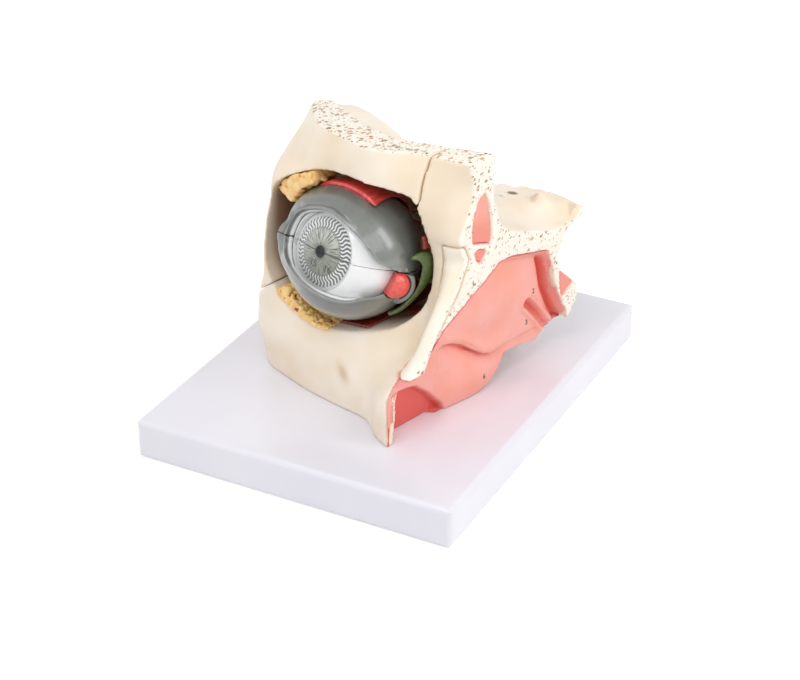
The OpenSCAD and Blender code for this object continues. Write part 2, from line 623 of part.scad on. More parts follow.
base_board();
mounting_screws();
orbit_block();
nasal_bone();
nasal_wall();
frontal_sinus_lining();
sphenoid_sinus_lining();
lacrimal_sac();
orbital_fat();
medial_rectus();
lateral_rectus();
inferior_rectus();
inferior_oblique();
nerve_bush();
roof_dowels();
orbit_roof();
lacrimal_gland();
sclera_lower();
choroid_lower();
iris_lower();
cornea_lower();
eyelid_lower();
caruncle();
optic_nerve();
half_pins();
sclera_upper();
choroid_upper();
iris_upper();
cornea_upper();
eyelid_upper();
superior_rectus();
levator();
vitreous_body();
lens();
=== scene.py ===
import json
import math
import bmesh
import bpy
import numpy as np
from mathutils import Matrix, Vector

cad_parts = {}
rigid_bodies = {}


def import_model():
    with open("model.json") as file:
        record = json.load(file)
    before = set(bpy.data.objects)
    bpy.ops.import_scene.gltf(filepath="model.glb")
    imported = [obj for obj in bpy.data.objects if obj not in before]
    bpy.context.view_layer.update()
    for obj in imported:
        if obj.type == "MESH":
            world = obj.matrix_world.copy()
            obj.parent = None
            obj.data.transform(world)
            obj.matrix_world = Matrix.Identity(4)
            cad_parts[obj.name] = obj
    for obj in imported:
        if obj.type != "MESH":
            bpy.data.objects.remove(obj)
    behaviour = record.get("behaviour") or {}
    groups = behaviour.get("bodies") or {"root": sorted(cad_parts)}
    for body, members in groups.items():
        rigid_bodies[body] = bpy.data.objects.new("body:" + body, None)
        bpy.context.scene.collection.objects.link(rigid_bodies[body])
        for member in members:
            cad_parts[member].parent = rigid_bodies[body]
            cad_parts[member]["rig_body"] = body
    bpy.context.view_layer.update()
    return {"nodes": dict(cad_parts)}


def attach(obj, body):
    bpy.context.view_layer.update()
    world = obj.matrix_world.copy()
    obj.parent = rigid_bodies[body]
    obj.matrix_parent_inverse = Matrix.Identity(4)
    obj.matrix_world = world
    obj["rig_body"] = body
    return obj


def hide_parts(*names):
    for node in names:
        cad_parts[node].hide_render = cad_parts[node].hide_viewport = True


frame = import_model()
print("frame loaded:", len(frame["nodes"]), "nodes")

# ---- frames: millimetres in the bone block's own frame and in the eye's own frame ----
blockAt = np.array([42.0, -89.5, 0.0])
blockTurn = math.radians(-16)
gazeTilt = math.radians(-20)
eyeAt = np.array([-66.0, 39.0, 110.0])
blockAxes = np.array(Matrix.Rotation(blockTurn, 3, "Z"))
eyeAxes = blockAxes @ np.array(Matrix.Rotation(gazeTilt, 3, "X"))
eyeWorld = blockAxes @ eyeAt + blockAt


def toBlock(p):
    return (p * 1000 - blockAt) @ blockAxes


def fromBlock(q):
    return (q @ blockAxes.T + blockAt) / 1000


def toEye(p):
    return (p * 1000 - eyeWorld) @ eyeAxes


def fromEye(q):
    return (q @ eyeAxes.T + eyeWorld) / 1000


def ease(low, high, x):  # 0 below low, 1 above high, smooth in between
    t = np.clip((x - low) / (high - low), 0, 1)
    return t * t * (3 - 2 * t)


def hill(x, y, middleX, middleY, wideX, wideY):  # bell of height 1 over an ellipse
    return np.exp(-((x - middleX) / wideX) ** 2 - ((y - middleY) / wideY) ** 2)


# Distance of points in a plane from a chain of straight lines
def chainAway(a, b, chain):
    c = np.array(chain, float)
    start, run = c[:-1], np.diff(c, axis=0)
    away = np.full(len(a), 999.0)
    for (sa, sb), (ra, rb) in zip(start, run):
        t = np.clip(((a - sa) * ra + (b - sb) * rb) / (ra * ra + rb * rb), 0, 1)
        away = np.minimum(away, np.hypot(a - sa - t * ra, b - sb - t * rb))
    return away


def insideOf(a, b, outline):  # True where a point lies inside a closed outline
    c = np.array(outline, float)
    found = np.zeros(len(a), bool)
    for (xa, ya), (xb, yb) in zip(c, np.roll(c, -1, 0)):
        if ya != yb:
            found ^= ((ya > b) != (yb > b)) & (a < (xb - xa) * (b - ya) / (yb - ya) + xa)
    return found


# ---- meshes ----
def newPiece(name, mesh):
    piece = bpy.data.objects.new(name, mesh)
    bpy.context.scene.collection.objects.link(piece)
    return piece


def corners(mesh):
    flat = np.zeros(len(mesh.vertices) * 3)
    mesh.vertices.foreach_get("co", flat)
    return flat.reshape(-1, 3)


def normals(mesh):
    flat = np.zeros(len(mesh.vertices) * 3)
    mesh.vertex_normals.foreach_get("vector", flat)
    return flat.reshape(-1, 3)


def setCorners(mesh, points):
    mesh.vertices.foreach_set("co", np.ascontiguousarray(points, np.float32).ravel())
    mesh.update()


def setField(piece, name, values):
    field = piece.data.attributes.new(name, "FLOAT", "POINT")
    field.data.foreach_set("value", np.ascontiguousarray(values, np.float32))


def shadeSmooth(mesh, angle=None):
    mesh.polygons.foreach_set("use_smooth", np.ones(len(mesh.polygons), bool))
    if angle is not None:
        mesh.set_sharp_from_angle(angle=math.radians(angle))
    mesh.update()


def mergedCopy(nodeName, pieceName):  # a copy of a CAD node with its loose triangles joined
    mesh = frame["nodes"][nodeName].data.copy()
    joined = bmesh.new()
    joined.from_mesh(mesh)
    bmesh.ops.remove_doubles(joined, verts=joined.verts, dist=3e-6)
    joined.to_mesh(mesh)
    joined.free()
    for field in list(mesh.attributes):
        if field.name.startswith("custom_normal"):
            mesh.attributes.remove(field)
    return newPiece(pieceName, mesh)


def smoothCopy(nodeName, pieceName, angle=30):
    piece = mergedCopy(nodeName, pieceName)
    shadeSmooth(piece.data, angle)
    return piece


# A CAD node as one fine skin: remeshed in voxels, every corner moved towards the mean of its
# neighbours for a few turns, and for many more turns where no sharp edge is near
def softSkin(nodeName, pieceName, voxel, turns=40, edgeTurns=5, crease=34, reach=3.0, before=None):
    piece = mergedCopy(nodeName, pieceName)
    if before:
        setCorners(piece.data, before(corners(piece.data)))
    joined = bmesh.new()
    joined.from_mesh(piece.data)
    sharp = [(*e.verts[0].co, *e.verts[1].co) for e in joined.edges
             if len(e.link_faces) != 2 or e.calc_face_angle(0) > math.radians(crease)]
    joined.free()
    ends = np.array(sharp).reshape(-1, 2, 3) * 1000
    remesh = piece.modifiers.new("voxels", "REMESH")
    remesh.mode = "VOXEL"
    remesh.voxel_size = voxel / 1000
    fine = bpy.data.meshes.new_from_object(piece.evaluated_get(bpy.context.evaluated_depsgraph_get()))
    piece.modifiers.clear()
    piece.data = fine
    p = corners(fine) * 1000
    # nearness to the sharp edges, on a coarse grid
    cell = max(voxel, 0.8)
    low = p.min(0) - 4 * cell
    near = np.zeros(np.ceil((p.max(0) - low) / cell).astype(int) + 5, np.float32)
    if len(ends):
        count = int(np.linalg.norm(ends[:, 1] - ends[:, 0], axis=1).max() / cell) + 2
        t = np.linspace(0, 1, count)[None, :, None]
        spots = (ends[:, :1] * (1 - t) + ends[:, 1:] * t).reshape(-1, 3)
        place = np.round((spots - low) / cell).astype(int)
        near[tuple(place.T)] = 1
        for turn in range(int(reach / cell)):
            for axis in range(3):
                near = np.maximum(near, np.maximum(np.roll(near, 1, axis), np.roll(near, -1, axis)))
        for turn in range(2):
            for axis in range(3):
                near = (near * 2 + np.roll(near, 1, axis) + np.roll(near, -1, axis)) / 4
    free = 1 - near[tuple(np.round((p - low) / cell).astype(int).T)]
    pairs = np.zeros(len(fine.edges) * 2, int)
    fine.edges.foreach_get("vertices", pairs)
    a, b = pairs.reshape(-1, 2).T
    n = len(p)
    share = (np.bincount(a, minlength=n) + np.bincount(b, minlength=n))[:, None]
    for turn in range(turns):
        mean = np.stack([np.bincount(a, p[b, k], n) + np.bincount(b, p[a, k], n) for k in range(3)], 1) / share
        pull = 0.6 if turn < edgeTurns else 0.6 * free[:, None]
        p = p + (mean - p) * pull
    setCorners(fine, p / 1000)
    shadeSmooth(fine)
    return piece


# A surface from a grid of points, p[i, j], wrapped round in j, its two end rings closed by fans
def tubeGrid(name, p):
    rows, around = p.shape[:2]
    i, j = np.meshgrid(np.arange(rows - 1), np.arange(around), indexing="ij")
    a = i * around + j
    b = i * around + (j + 1) % around
    quads = np.stack([a, b, b + around, a + around], -1).reshape(-1, 4)
    points = np.concatenate([p.reshape(-1, 3), p[0].mean(0)[None], p[-1].mean(0)[None]])
    k = np.arange(around)
    first = np.stack([(k + 1) % around, k, np.full(around, rows * around)], 1)
    last = np.stack([k, (k + 1) % around, np.full(around, 1 - around)], 1) + (rows - 1) * around
    last[:, 2] = rows * around + 1
    mesh = bpy.data.meshes.new(name)
    mesh.from_pydata(points.tolist(), [], quads.tolist() + first.tolist() + last.tolist())
    piece = newPiece(name, mesh)
    solid = bmesh.new()
    solid.from_mesh(mesh)
    bmesh.ops.recalc_face_normals(solid, faces=solid.faces)
    solid.to_mesh(mesh)
    solid.free()
    shadeSmooth(mesh)
    return piece


# Distance to the nearest of one scattered seed in each cell of a cubic grid, in cells
def seedDistance(p, size, shift):
    cell = np.floor(p / size)
    best = np.full(len(p), 9.0)
    mixing = np.array([[127.1, 269.5, 113.5], [311.7, 183.3, 271.9], [74.7, 246.1, 124.6]])
    for offset in np.ndindex(3, 3, 3):
        c = cell + np.array(offset) - 1
        h = np.sin(c @ mixing + shift) * 43758.5453
        best = np.minimum(best, np.linalg.norm(p / size - c - 0.5 - 0.8 * (h - np.floor(h) - 0.5), axis=1))
    return best


# ---- materials ----
def rgb(red, green, blue):  # screen values from 0 to 255 as the linear colour that a shader takes
    c = np.array([red, green, blue]) / 255
    return (*np.where(c <= 0.04045, c / 12.92, ((c + 0.055) / 1.055) ** 2.4).tolist(), 1.0)


class Wire:  # one output socket; arithmetic on it adds Math nodes to the same paint
    def __init__(self, paint, socket):
        self.paint, self.socket = paint, socket

    def __add__(self, other):
        return self.paint.maths("ADD", self, other)

    def __sub__(self, other):
        return self.paint.maths("SUBTRACT", self, other)

    def __rsub__(self, other):
        return self.paint.maths("SUBTRACT", other, self)

    def __mul__(self, other):
        return self.paint.maths("MULTIPLY", self, other)

    __radd__ = __add__
    __rmul__ = __mul__

    def held(self):  # kept between 0 and 1
        return self.paint.node("ShaderNodeClamp", {}, {0: self})


class Paint:
    def __init__(self, name, roughness=0.4, coat=0.0, coatRoughness=0.1, specular=0.5):
        self.material = bpy.data.materials.new(name)
        self.material.use_nodes = True
        self.tree = self.material.node_tree
        self.tree.nodes.clear()
        self.output = self.tree.nodes.new("ShaderNodeOutputMaterial")
        self.shader = self.tree.nodes.new("ShaderNodeBsdfPrincipled")
        self.tree.links.new(self.shader.outputs[0], self.output.inputs[0])
        self.set(**{"Roughness": roughness, "Coat Weight": coat, "Coat Roughness": coatRoughness,
                    "Specular IOR Level": specular})

    def node(self, kind, settings, sockets, output=0):
        made = self.tree.nodes.new(kind)
        for key, value in settings.items():
            if key == "stops":
                ramp = made.color_ramp
                while len(ramp.elements) < len(value):
                    ramp.elements.new(0.5)
                for stop, (place, colour) in zip(ramp.elements, value):
                    stop.position, stop.color = place, colour
            else:
                setattr(made, key, value)
        for key, value in sockets.items():
            self.feed(made.inputs[key], value)
        return Wire(self, made.outputs[output])

    def feed(self, socket, value):
        if isinstance(value, Wire):
            self.tree.links.new(value.socket, socket)
        else:
            socket.default_value = value

    def set(self, **sockets):
        for key, value in sockets.items():
            self.feed(self.shader.inputs[key], value)

    def maths(self, how, first, second):
        return self.node("ShaderNodeMath", {"operation": how}, {0: first, 1: second})

    def blend(self, factor, a, b):
        return self.node("ShaderNodeMix", {"data_type": "RGBA"}, {0: factor, 6: a, 7: b}, 2)

    def field(self, name):
        return self.node("ShaderNodeAttribute", {"attribute_name": name}, {}, "Fac")

    def place(self, where="block", stretch=(1, 1, 1)):  # millimetres in the block's or the eye's frame
        spot = self.node("ShaderNodeTexCoord", {}, {}, "Object")
        at = {"block": blockAt, "eye": eyeWorld, "board": np.zeros(3)}[where] / 1000
        turn = {"block": (0, 0, blockTurn), "eye": (gazeTilt, 0, blockTurn), "board": (0, 0, 0)}[where]
        scale = [0.001 * s for s in stretch]
        return self.node("ShaderNodeMapping", {"vector_type": "TEXTURE"},
                         {"Vector": spot, "Location": at.tolist(), "Rotation": turn, "Scale": scale})

    def noise(self, place, size, detail=2.0, rough=0.5):
        return self.node("ShaderNodeTexNoise", {}, {"Vector": place, "Scale": 1 / size, "Detail": detail,
                                                    "Roughness": rough})

    def warped(self, place, size, amount):  # the place pushed about by a noise of that size
        push = self.node("ShaderNodeTexNoise", {}, {"Vector": place, "Scale": 1 / size, "Detail": 1.0}, 1)
        push = self.node("ShaderNodeVectorMath", {"operation": "SUBTRACT"}, {0: push, 1: (0.5, 0.5, 0.5)})
        push = self.node("ShaderNodeVectorMath", {"operation": "SCALE"}, {0: push, 3: amount})
        return self.node("ShaderNodeVectorMath", {"operation": "ADD"}, {0: place, 1: push})

    def split(self, vector):
        made = self.tree.nodes.new("ShaderNodeSeparateXYZ")
        self.tree.links.new(vector.socket, made.inputs[0])
        return [Wire(self, made.outputs[k]) for k in range(3)]

    def bump(self, height, distance, strength=1.0):  # height 1 stands that many millimetres proud
        self.set(Normal=self.node("ShaderNodeBump", {}, {"Height": height, "Distance": distance / 1000,
                                                        "Strength": strength}))


def step(wire, low, high):  # 0 below low, 1 above high
    return ((wire - low) * (1 / (high - low))).held()


# Cream bone: soft clouds of tone, long marrow marks where the bone is sawn, tan tint and painted shade
# inside the orbit, and pink where the lining of the nose runs on over it
def bonePaint(name="bone", light=(252, 240, 224), dark=(244, 226, 200)):
    p = Paint(name, roughness=0.42, specular=0.35)
    spot = p.place("block")
    tone = p.noise(spot, 34, 2.0, 0.5)
    colour = p.blend(step(tone, 0.35, 0.65), rgb(*light), rgb(*dark))
    speck = p.noise(spot, 0.7, 2.0)
    sawn = p.field("sawn")
    colour = p.blend(sawn * 0.8, colour, rgb(255, 250, 238))
    marks = None
    for size, along, turned, fill in [(2.3, 2.1, (0.7, -0.5, 0.9), 0.42), (1.6, 1.5, (-0.4, 0.8, 0.3), 0.34)]:
        bent = p.warped(p.warped(spot, 3.0, 2.2), 0.9, 0.8)
        bent = p.node("ShaderNodeMapping", {"vector_type": "TEXTURE"},
                      {"Vector": bent, "Rotation": turned, "Scale": (along, 1, 1)})
        cell = p.node("ShaderNodeTexVoronoi", {}, {"Vector": bent, "Scale": 1 / size})
        kind = p.node("ShaderNodeTexVoronoi", {}, {"Vector": bent, "Scale": 1 / size}, 1)
        lot = p.node("ShaderNodeSeparateColor", {}, {0: kind})
        mark = step(lot * fill + p.field("marrow") * 0.1 - 0.02 - cell, 0.0, 0.09) * sawn
        shade = p.node("ShaderNodeSeparateColor", {}, {0: kind}, 1)
        stain = p.node("ShaderNodeValToRGB", {"stops": [
            (0.0, rgb(190, 122, 60)), (0.28, rgb(222, 160, 92)), (0.5, rgb(232, 168, 122)),
            (0.68, rgb(196, 164, 112)), (0.84, rgb(150, 94, 40))]}, {0: shade})
        colour = p.blend(mark * 0.9, colour, stain)
        marks = mark if marks is None else marks + mark
    heights = (speck - 0.5) * 0.05 - marks.held() * 0.5
    colour = p.blend(p.field("stain"), colour, rgb(206, 172, 126))
    # tan tint with painted shade on the orbit's inside, just behind its rim
    colour = p.blend(p.field("hollow"), colour, rgb(136, 82, 38))
    colour = p.blend(p.field("canal"), colour, rgb(112, 66, 22))
    colour = p.blend(p.field("lined"), colour, rgb(245, 160, 150))
    p.set(**{"Base Color": colour, "Roughness": (speck * 0.12 + 0.36)})
    p.bump(heights, 1.0)
    return p.material


# Salmon lining of nose and sinuses: deeper and warmer red painted in its hollows as painted shade, fine moist grain
def mucosaPaint():
    p = Paint("mucosa", roughness=0.36, coat=0.2, coatRoughness=0.3, specular=0.4)
    spot = p.place("block")
    tone = p.noise(spot, 22, 2.0, 0.5)
    colour = p.blend(step(tone, 0.35, 0.7), rgb(248, 174, 162), rgb(247, 163, 142))
    # painted shade: deep red in the hollows and under the fold
    colour = p.blend(p.field("deep"), colour, rgb(224, 84, 76))
    colour = p.blend(p.field("rimLight") * 0.7, colour, rgb(243, 152, 152))
    grain = p.noise(spot, 0.9, 3.0)
    vein = p.noise(p.warped(spot, 6, 5), 5, 2.0)
    colour = p.blend(step(vein, 0.6, 0.75) * 0.1, colour, rgb(214, 100, 92))
    p.set(**{"Base Color": colour, "Roughness": grain * 0.12 + 0.3})
    p.bump(grain, 0.06)
    return p.material


# Grey lids: painted shade in the crease round the upper lid, a painted highlight along the lip, painted shadow at
# the temple edge of the opening, and a few dark flecks
def lidPaint():
    p = Paint("lidGrey", roughness=0.34, coat=0.9, coatRoughness=0.14)
    spot = p.place("eye")
    tone = p.noise(spot, 14, 3.0, 0.6)
    colour = p.blend(step(tone, 0.3, 0.7), rgb(108, 111, 107), rgb(122, 125, 120))
    grain = p.noise(spot, 0.55, 2.0)
    speck = step(p.noise(spot, 1.5, 1.0), 0.74, 0.77)
    colour = p.blend(speck * 0.6, colour, rgb(70, 72, 70))
    # painted shade in the crease round the upper lid
    colour = p.blend(p.field("crease") * 0.75, colour, rgb(62, 64, 62))
    # painted highlight along the lip of the opening
    colour = p.blend(p.field("margin") * 0.5, colour, rgb(150, 153, 150))
    colour = p.blend(p.field("wall"), colour, rgb(226, 228, 228))
    # painted shadow along the edge of the opening at the temple
    colour = p.blend(p.field("edge") * 0.8, colour, rgb(62, 64, 62))
    p.set(**{"Base Color": colour, "Roughness": grain * 0.14 + 0.24})
    p.bump(grain, 0.05)
    return p.material


def scleraPaint():
    p = Paint("scleraWhite", roughness=0.24, coat=0.6, coatRoughness=0.08)
    spot = p.place("eye")
    tone = p.noise(spot, 11, 3.0)
    colour = p.blend(step(tone, 0.4, 0.7), rgb(243, 243, 243), rgb(236, 236, 238))
    thread = p.noise(p.warped(spot, 5, 6), 3.4, 3.0, 0.7)
    fine = p.maths("ABSOLUTE", thread - 0.5, 0.0)
    colour = p.blend((1 - step(fine, 0.0, 0.006)) * 0.1, colour, rgb(206, 170, 168))
    p.set(**{"Base Color": colour, "Roughness": tone * 0.1 + 0.18})
    p.bump(tone, 0.05)
    return p.material


# Grey-green iris: fine spokes, lighter on the upper half as a painted highlight, and round them a dark ring crossed
# by wavy white strokes; the strokes swing to and fro with the radius, turn + swing * sin(radius * waves)
irisShape = {"ringInner": 13.6, "ringOuter": 19.7, "strokes": 46, "swing": 0.03, "waves": 1.35, "pupil": 3.4}


def irisPaint():
    p = Paint("iris", roughness=0.4, coat=0.3)
    x, y, z = p.split(p.place("eye"))
    radius = p.maths("POWER", x * x + z * z, 0.5)
    turn = p.maths("ARCTAN2", z, x)
    polar = p.node("ShaderNodeCombineXYZ", {}, {0: turn * 13.0, 1: radius * 0.12, 2: 0.0})
    spokes = p.noise(polar, 0.8, 2.0, 0.6)
    # painted highlight: the spokes on the upper half are lighter, as if lit from above
    sky = step(z, -4.0, 9.0)
    base = p.blend(step(spokes, 0.38, 0.6), rgb(96, 102, 92), rgb(150, 156, 140))
    base = p.blend(sky * step(spokes, 0.42, 0.6) * 0.85, base, rgb(214, 218, 210))
    base = p.blend(1 - step(radius, 3.2, 5.5), base, rgb(92, 96, 88))
    swing = p.maths("SINE", radius * irisShape["waves"], 0.0) * irisShape["swing"]
    stroke = p.maths("SINE", (turn + swing) * irisShape["strokes"], 0.0)
    inner, outer = irisShape["ringInner"], irisShape["ringOuter"]
    ring = step(radius, inner - 0.8, inner + 0.3) * (1 - step(radius, outer - 0.2, outer + 0.3))
    dark = p.blend(ring, base, rgb(104, 108, 106))
    white = step(stroke, -0.15, 0.4) * ring * step(radius, inner - 0.2, inner + 0.6)
    colour = p.blend(white, dark, rgb(246, 247, 246))
    colour = p.blend(step(radius, outer - 0.2, outer + 0.4), colour, rgb(234, 236, 236))
    colour = p.blend(1 - step(radius, irisShape["pupil"], irisShape["pupil"] + 0.4), colour, rgb(40, 40, 38))
    parting = 1 - step(p.maths("ABSOLUTE", z, 0.0), 0.22, 0.42)
    colour = p.blend(parting * 0.8, colour, rgb(52, 54, 52))
    p.set(**{"Base Color": colour})
    p.bump(white * 0.6 + spokes * (1 - ring) * 0.5, 0.4)
    return p.material


def clearPaint(name, tint, body):
    p = Paint(name, roughness=0.05, specular=0.6)
    haze = p.noise(p.place("eye"), 9, 2.0)
    p.set(**{"Base Color": p.blend(haze, tint, rgb(255, 255, 255)), "Roughness": haze * 0.03 + 0.03})
    through = p.tree.nodes.new("ShaderNodeBsdfTransparent")
    shine = p.node("ShaderNodeLayerWeight", {}, {"Blend": 0.25}, "Fresnel")
    mixed = p.node("ShaderNodeMixShader", {}, {0: (shine * 0.12 + body).held(), 1: Wire(p, through.outputs[0]),
                                              2: Wire(p, p.shader.outputs[0])})
    p.tree.links.new(mixed.socket, p.output.inputs[0])
    return p.material


def fleshPaint(name, light, dark, grainAcross, frameName="eye", stretch=(1, 1, 1), roughness=0.34, coat=0.4):
    p = Paint(name, roughness=roughness, coat=coat, coatRoughness=0.2)
    spot = p.place(frameName, stretch)
    fibre = p.noise(spot, grainAcross, 3.0, 0.6)
    tone = p.noise(p.place(frameName), 9, 2.0)
    colour = p.blend(step(fibre, 0.35, 0.65), rgb(*dark), rgb(*light))
    colour = p.blend(step(tone, 0.5, 0.8) * 0.3, colour, rgb(*dark))
    p.set(**{"Base Color": colour, "Roughness": fibre * 0.15 + roughness - 0.08})
    p.bump(fibre, 0.35)
    return p.material


# Lobed fat or gland: light crowns, and brown painted shade in the creases between lobes
def lobePaint(name, crown, side, crease):
    p = Paint(name, roughness=0.36, coat=0.4, coatRoughness=0.2)
    spot = p.place("block")
    tone = p.noise(spot, 5, 2.0)
    colour = p.blend(step(tone, 0.35, 0.7), rgb(*crown), rgb(*side))
    # painted shade: brown in the creases between lobes
    depth = p.field("crease")
    colour = p.blend(step(depth, 0.5, 0.98), colour, rgb(*crease))
    grain = p.noise(spot, 0.6, 2.0)
    p.set(**{"Base Color": colour, "Roughness": grain * 0.15 + 0.28})
    p.bump(grain, 0.08)
    return p.material


def lacquerPaint():
    p = Paint("boardLacquer", roughness=0.28, coat=0.5, coatRoughness=0.12)
    spot = p.place("board")
    tone = p.noise(spot, 60, 2.0)
    colour = p.blend(step(tone, 0.3, 0.7), rgb(238, 236, 244), rgb(233, 231, 240))
    peel = p.noise(spot, 1.6, 2.0)
    p.set(**{"Base Color": colour, "Roughness": peel * 0.08 + 0.26})
    p.bump(peel, 0.02)
    return p.material


def plainPaint(name, light, dark, size, roughness=0.4, metallic=0.0, grain=0.05):
    p = Paint(name, roughness=roughness)
    spot = p.place("block")
    tone = p.noise(spot, size, 3.0)
    fine = p.noise(spot, size / 8, 2.0)
    p.set(**{"Base Color": p.blend(step(tone, 0.35, 0.65), rgb(*light), rgb(*dark)), "Metallic": metallic,
             "Roughness": fine * 0.15 + roughness - 0.07})
    p.bump(fine, grain)
    return p.material


def dress(piece, paint, slotName, *replaced):
    piece.data.materials.clear()
    piece.data.materials.append(paint)
    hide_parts(*replaced)
    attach(piece, frame["nodes"][replaced[0]]["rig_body"])
    return piece


print("materials")
paints = {
    "bone": bonePaint(),
    "nasal": bonePaint("nasalBone", (255, 249, 236), (252, 242, 220)),
    "mucosa": mucosaPaint(),
    "lid": lidPaint(),
    "sclera": scleraPaint(),
    "iris": irisPaint(),
    "cornea": clearPaint("corneaClear", rgb(250, 252, 255), 0.02),
    "inner": clearPaint("innerClear", rgb(222, 238, 244), 0.2),
    "caruncle": fleshPaint("caruncleRed", (236, 84, 70), (218, 58, 48), 1.6, roughness=0.24, coat=0.8),
    "levator": fleshPaint("levatorRed", (232, 92, 84), (208, 54, 48), 1.1, "eye", (1, 14, 6), 0.3, 0.6),
    "muscle": fleshPaint("muscleRed", (150, 46, 30), (104, 24, 16), 1.2, "block", (1, 14, 1), 0.36, 0.3),
    "muscleFlat": fleshPaint("muscleRedFlat", (160, 60, 40), (120, 34, 22), 1.2, "block", (10, 1, 1)),
    "fat": lobePaint("fatYellow", (255, 222, 148), (255, 192, 96), (178, 84, 24)),
    "gland": lobePaint("glandOrange", (255, 218, 150), (255, 192, 104), (220, 136, 62)),
    "sac": fleshPaint("sacGreen", (92, 114, 60), (64, 86, 42), 2.2, "block", (1, 1, 1), 0.34, 0.4),
    "nerve": fleshPaint("nerveYellow", (238, 206, 104), (222, 184, 78), 0.9, "block", (1, 16, 1), 0.4, 0.2),
    "choroid": plainPaint("choroidBrown", (128, 72, 52), (98, 50, 38), 4, 0.5),
    "steel": plainPaint("steel", (206, 208, 212), (186, 188, 194), 5, 0.3, 1.0, 0.01),
    "board": lacquerPaint(),
    "ink": plainPaint("numberInk", (60, 50, 48), (40, 34, 32), 3, 0.5),
}

# ---- the board and its hardware ----
dress(smoothCopy("base_board", "boardWithRoundedEdges", 20), paints["board"], "board_white", "base_board")
dress(smoothCopy("mounting_screws", "boardScrews"), paints["steel"], "steel", "mounting_screws")
dress(smoothCopy("roof_dowels", "roofPins"), paints["steel"], "steel", "roof_dowels")
dress(smoothCopy("half_pins", "eyePins"), paints["steel"], "steel", "half_pins")
dress(smoothCopy("nerve_bush", "nerveBush"), paints["bone"], "bone", "nerve_bush")

# ---- bone ----
browBack = {
    "across": [0, 9, 30, 42, 56, 78, 104, 117, 124, 128],
    "depth": [85, 81, 71, 66, 61, 62, 70, 76, 67, 58],
}
boneSkin = {
    "boneOfTheOrbit": {"voxel": 1.15},
    "liftOffRoof": {"voxel": 0.9},
    "bridgeOfTheNose": {"voxel": 0.6, "turns": 50, "edgeTurns": 26, "crease": 60, "reach": 1.2},
}
# Marks on the bone as middle and half widths: the first two in x and y, the stain in x and z
boneMarks = {
    "bandHeight": 176.2, "furrow": (-35, 131, 3.4, 7.5), "canal": (-36, 142, 3.4, 4.2), "stain": (-50, 47, 3.6, 4.6),
    "rimAhead": 4.3, "rimSlant": 0.245, "noseSideDeeper": 5, "socketWide": 62, "fadeIn": 11, "fadeOut": (22, 50),
    "liningOver": 1.4, "sinusOver": 1.8,
    "noseEdge": [[25, 47.3, 54.5, 57.7, 62], [-0.8, -2.1, -5.2, -8.4, -12.7]],
}


# Outlines in the midline plane, as y and z of the block: the nose's opening, and the sinuses
nose = {
    "rim": [[12, 59], [23, 64], [33, 71], [44, 82], [65, 93], [79, 100], [90, 107], [100, 107], [116, 103],
            [133, 99], [137, 90], [141, 74], [149, 57], [153, 51]],
    "low": [[153, 46], [142, 38], [132, 33], [116, 36], [106, 37], [100, 32], [90, 23], [80, 22], [4, 22]],
    "fold": [[42, 60], [45, 66], [49, 68], [56, 66.5], [65, 62], [74, 55], [83, 49], [90, 46.5], [103, 46.5],
             [122, 46]],
    "pit": [[122, 66.5], [126, 62.5], [132, 56], [138, 48], [145, 40]],
    "arch": [[2, 38], [5, 48], [12, 53], [21, 53], [29, 51], [39, 43], [46, 35], [50, 31], [54, 22]],
}
sinuses = [
    [[76, 156], [70, 150], [67, 138], [67, 127], [75, 125], [83, 122], [82, 136], [79, 150]],
    [[69, 122], [70, 116], [74, 113], [78, 116], [79, 119], [74, 121]],
    [[144, 83], [159, 69], [148, 62]],
]


def closed(outline):
    return outline + outline[:1]


